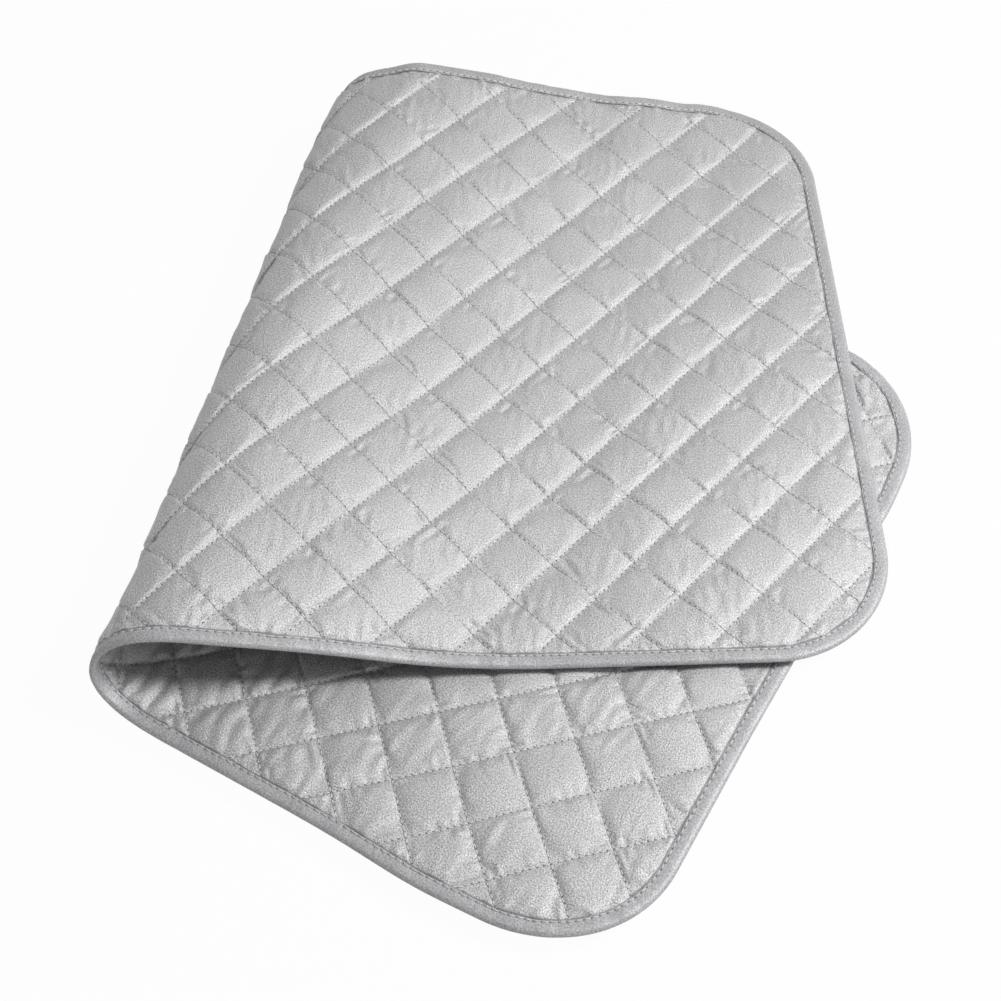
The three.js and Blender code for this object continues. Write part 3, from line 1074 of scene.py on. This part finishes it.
def stitch_row(start, way, count, length, size):
    """A straight row of stitches: one grain of thread, repeated along a line."""
    width, height = size
    bm = bmesh.new()
    shape = Matrix.Diagonal((width / 2, height / 2, length / 2 * STITCH_SHARE, 1))
    bmesh.ops.create_uvsphere(bm, u_segments=STITCH_SIDES, v_segments=STITCH_RINGS, radius=1.0, matrix=shape)
    turn = Vector((0, 0, 1)).rotation_difference(way).to_matrix().to_4x4()
    bmesh.ops.transform(bm, matrix=Matrix.Translation(start + way * length / 2) @ turn, verts=bm.verts[:])
    if count > 1:
        bmesh.ops.spin(
            bm, geom=bm.verts[:] + bm.edges[:] + bm.faces[:], cent=(0, 0, 0), axis=(0, 0, 1),
            dvec=way * length, angle=0.0, steps=count - 1, use_duplicate=True,
        )
    return bm


def quilting_rows(cut):
    """All the quilting stitches of one face, as one flat mesh along and across the mat."""
    length = cut.spacing / cut.stitches
    reach = diamonds_out(cut)
    origin = np.array([cut.crossing_along, cut.crossing_across])
    ways = [np.array([1, 1]) / math.sqrt(2), np.array([1, -1]) / math.sqrt(2)]
    ends = np.arange(-reach * cut.stitches, reach * cut.stitches + 1)
    whole = bmesh.new()
    mesh = bpy.data.meshes.new("rows")
    for line, row in (ways, reversed(ways)):
        for number in range(-reach, reach + 1):
            places = origin + line * number * cut.spacing + np.outer(ends * length, row)
            inside = np.nonzero(inside_edge(cut, places[:, 0], places[:, 1]) > cut.tape)[0]
            if len(inside) < 2:
                continue
            start = Vector((*places[inside[0]], 0))
            bm = stitch_row(start, Vector((*row, 0)), len(inside) - 1, length, QUILTING_STITCH)
            bm.to_mesh(mesh)
            whole.from_mesh(mesh)
            bm.free()
    whole.to_mesh(mesh)
    whole.free()
    return mesh


def binding_rows(cut):
    """The binding's row of stitches on one face, as one flat mesh along and across the mat."""
    count = stitch_count(cut)
    bm = stitch_row(Vector((0, 0, 0)), Vector((1, 0, 0)), count, stitch_length(cut), BINDING_STITCH)
    mesh = made_mesh(bm, "binding_rows")
    places = points_of(mesh)
    line, ways, at, whole = edge_line(cut, count * ROW_STEPS)
    at = np.append(at, whole)
    along = np.clip(places[:, 0], 0, whole)
    columns = [np.interp(along, at, np.append(column, column[0])) for column in (*line.T, *ways.T)]
    x, y, out_x, out_y = columns
    inset = STITCH_INSET + places[:, 1]
    put_points(mesh, x - out_x * inset, y - out_y * inset, places[:, 2])
    return mesh


def both_faces(cut, mesh, height, floats):
    """The same stitches on the outer and inner face, in flat places across and along the fold."""
    places = points_of(mesh)
    x, y = across_fold(cut, places[:, 0], places[:, 1])
    bm = bmesh.new()
    for side, way in ((0, -1), (1, 1)):
        lift = height + (seam_float(cut, places[:, 0], places[:, 1], side) if floats else 0)
        put_points(mesh, x, y, cut.thickness / 2 + way * (lift + places[:, 2]))
        bm.from_mesh(mesh)
    bpy.data.meshes.remove(mesh)
    bmesh.ops.recalc_face_normals(bm, faces=bm.faces[:])
    return made_mesh(bm, "stitches")


def stitch_lengths(mesh, bend, names):
    """Parts whole stitches by the split they lie before, and bends them."""
    across = points_of(mesh)[:, 0].reshape(-1, STITCH_POINTS)
    part = length_at(np.repeat(across.mean(axis=1), STITCH_POINTS))
    put_points(mesh, *bend(points_of(mesh)).T)
    made = []
    for number, name in enumerate(names):
        bm = bmesh.new()
        bm.from_mesh(mesh)
        others = [vert for vert, of in zip(bm.verts, part) if of != number]
        bmesh.ops.delete(bm, geom=others, context="VERTS")
        own = made_mesh(bm, name)
        shade_smooth(own)
        made.append(shown(name, own))
    bpy.data.meshes.remove(mesh)
    return made


# the stage


def studio_floor():
    """A round floor that curves up into a wall."""
    bm = bmesh.new()
    bmesh.ops.create_circle(bm, cap_ends=True, segments=96, radius=FLOOR_REACH)
    rim = [edge for edge in bm.edges if edge.is_boundary]
    wall = bmesh.ops.extrude_edge_only(bm, edges=rim)["geom"]
    top = [part for part in wall if isinstance(part, bmesh.types.BMVert)]
    bmesh.ops.translate(bm, verts=top, vec=(0, 0, WALL_HEIGHT))
    bmesh.ops.bevel(
        bm, geom=rim, offset=0.8, offset_type="OFFSET", affect="EDGES", segments=8, profile=0.5, material=-1
    )
    for face in bm.faces:
        face.smooth = True
    floor = shown("floor", made_mesh(bm, "floor"))
    floor.location.z = -FLOOR_DROP
    return floor


def key_lamp():
    """One round lamp, aimed at the middle of the mat."""
    lamp = bpy.data.lights.new("key", "AREA")
    lamp.shape = "DISK"
    lamp.size = 0.45
    lamp.energy = 21.3
    stand = shown("key", lamp)
    stand.location = KEY_PLACE
    stand.rotation_euler = (-Vector(KEY_PLACE)).to_track_quat("-Z", "Y").to_euler()


def studio_world():
    """White light, strongest from one direction and fading to none square to it."""
    world = bpy.data.worlds.new("studio")
    world.use_nodes = True
    tree = world.node_tree
    tree.nodes.clear()
    way = add(tree, "ShaderNodeTexCoord").outputs["Generated"]
    facing = vector_calc(tree, "DOT_PRODUCT", way, WORLD_WAY, result="Value")
    level = ranged(tree, facing, 0.0, 1.0, *WORLD_LIGHT)
    glow = add(tree, "ShaderNodeBackground", Color=WHITE, Strength=level).outputs[0]
    add(tree, "ShaderNodeOutputWorld", Surface=glow)
    return world


def camera_eye():
    """The camera, where it stood for the photograph."""
    camera = bpy.data.cameras.new("camera")
    camera.lens = 68.84
    camera.sensor_width = 36.0
    eye = shown("camera", camera)
    eye.location = (0.1283, -0.7406, 0.9878)
    eye.rotation_euler = Euler([math.radians(turn) for turn in EYE_DEGREES])
    return eye


# operators


class MAT_OT_quilt(bpy.types.Operator):
    """Sew, fill and fold the quilted body of the mat"""

    bl_idname = "mat.quilt"
    bl_label = "Quilted body"

    def execute(self, context):
        cut, colours = context.scene.mat_cut, context.scene.mat_finish
        bend = Bend(cut)
        finish = silver_cloth(cut, colours)
        pieces = lengths_of(quilted_body(cut), bend, [f"quilt_{name}" for name in LENGTHS])
        for number, piece in enumerate(pieces):
            piece.data.materials.append(finish)
            for node in STANDS_FOR[number]:
                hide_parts(f"outer_cover_{node}", f"wadding_{node}", f"inner_cover_{node}")
            bend_with_bodies(piece, number, cut, bend)
        return {"FINISHED"}


class MAT_OT_binding(bpy.types.Operator):
    """Fold the binding tape round the edge"""

    bl_idname = "mat.binding"
    bl_label = "Binding tape"

    def execute(self, context):
        cut, colours = context.scene.mat_cut, context.scene.mat_finish
        bend = Bend(cut)
        finish = tape_finish(cut, colours)
        pieces = lengths_of(binding_body(cut), bend, [f"tape_{name}" for name in LENGTHS])
        for number, piece in enumerate(pieces):
            piece.data.materials.append(finish)
            for node in STANDS_FOR[number]:
                ends = [f"near_binding_{node}", f"far_binding_{node}"]
                if node in ("lower", "upper"):
                    ends = [f"binding_{node}"]
                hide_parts(*ends)
            tape_length(cut, number)
            bend_with_bodies(piece, number, cut, bend)
        return {"FINISHED"}


class MAT_OT_quilting_thread(bpy.types.Operator):
    """Stitch the two crossing sets of quilting lines"""

    bl_idname = "mat.quilting_thread"
    bl_label = "Quilting thread"

    def execute(self, context):
        cut, colours = context.scene.mat_cut, context.scene.mat_finish
        bend = Bend(cut)
        finish = thread_finish(colours)
        rows = both_faces(cut, quilting_rows(cut), cut.seam / 2 + QUILTING_OVER, True)
        pieces = stitch_lengths(rows, bend, [f"quilting_{name}" for name in LENGTHS])
        for number, piece in enumerate(pieces):
            piece.data.materials.append(finish)
            bend_with_bodies(piece, number, cut, bend)
        return {"FINISHED"}


class MAT_OT_binding_thread(bpy.types.Operator):
    """Stitch the binding down"""

    bl_idname = "mat.binding_thread"
    bl_label = "Binding thread"

    def execute(self, context):
        cut, colours = context.scene.mat_cut, context.scene.mat_finish
        bend = Bend(cut)
        finish = bpy.data.materials.get("spun_polyester_thread") or thread_finish(colours)
        rows = both_faces(cut, binding_rows(cut), BINDING_HEIGHT, False)
        pieces = stitch_lengths(rows, bend, [f"binding_stitch_{name}" for name in LENGTHS])
        for number, piece in enumerate(pieces):
            piece.data.materials.append(finish)
            bend_with_bodies(piece, number, cut, bend)
        return {"FINISHED"}


class MAT_OT_stage(bpy.types.Operator):
    """Set up the floor, the light and the camera"""

    bl_idname = "mat.stage"
    bl_label = "Stage"

    def execute(self, context):
        scene = context.scene
        scene.view_settings.view_transform = "Standard"
        scene.camera = camera_eye()
        floor = studio_floor()
        floor.data.materials.append(floor_finish(scene.mat_finish))
        key_lamp()
        scene.world = studio_world()
        return {"FINISHED"}


class MAT_PT_panel(bpy.types.Panel):
    """Sizes, colours and steps of the mat"""

    bl_idname = "MAT_PT_panel"
    bl_label = "Quilted mat"
    bl_space_type = "VIEW_3D"
    bl_region_type = "UI"
    bl_category = "Mat"

    def draw(self, context):
        for group in (context.scene.mat_cut, context.scene.mat_finish):
            for name in group.__annotations__:
                self.layout.prop(group, name)
        for step in STEPS:
            self.layout.operator(step.bl_idname)


STEPS = (MAT_OT_stage, MAT_OT_quilt, MAT_OT_binding, MAT_OT_quilting_thread, MAT_OT_binding_thread)
CLASSES = (MatCut, MatFinish, *STEPS, MAT_PT_panel)


def register():
    for cls in CLASSES:
        bpy.utils.register_class(cls)
    bpy.types.Scene.mat_cut = PointerProperty(type=MatCut)
    bpy.types.Scene.mat_finish = PointerProperty(type=MatFinish)


def unregister():
    del bpy.types.Scene.mat_finish
    del bpy.types.Scene.mat_cut
    for cls in reversed(CLASSES):
        bpy.utils.unregister_class(cls)


def main():
    register()
    bpy.ops.mat.stage()
    bpy.ops.mat.quilt()
    bpy.ops.mat.binding()
    bpy.ops.mat.quilting_thread()
    bpy.ops.mat.binding_thread()


if __name__ == "__main__":
    main()
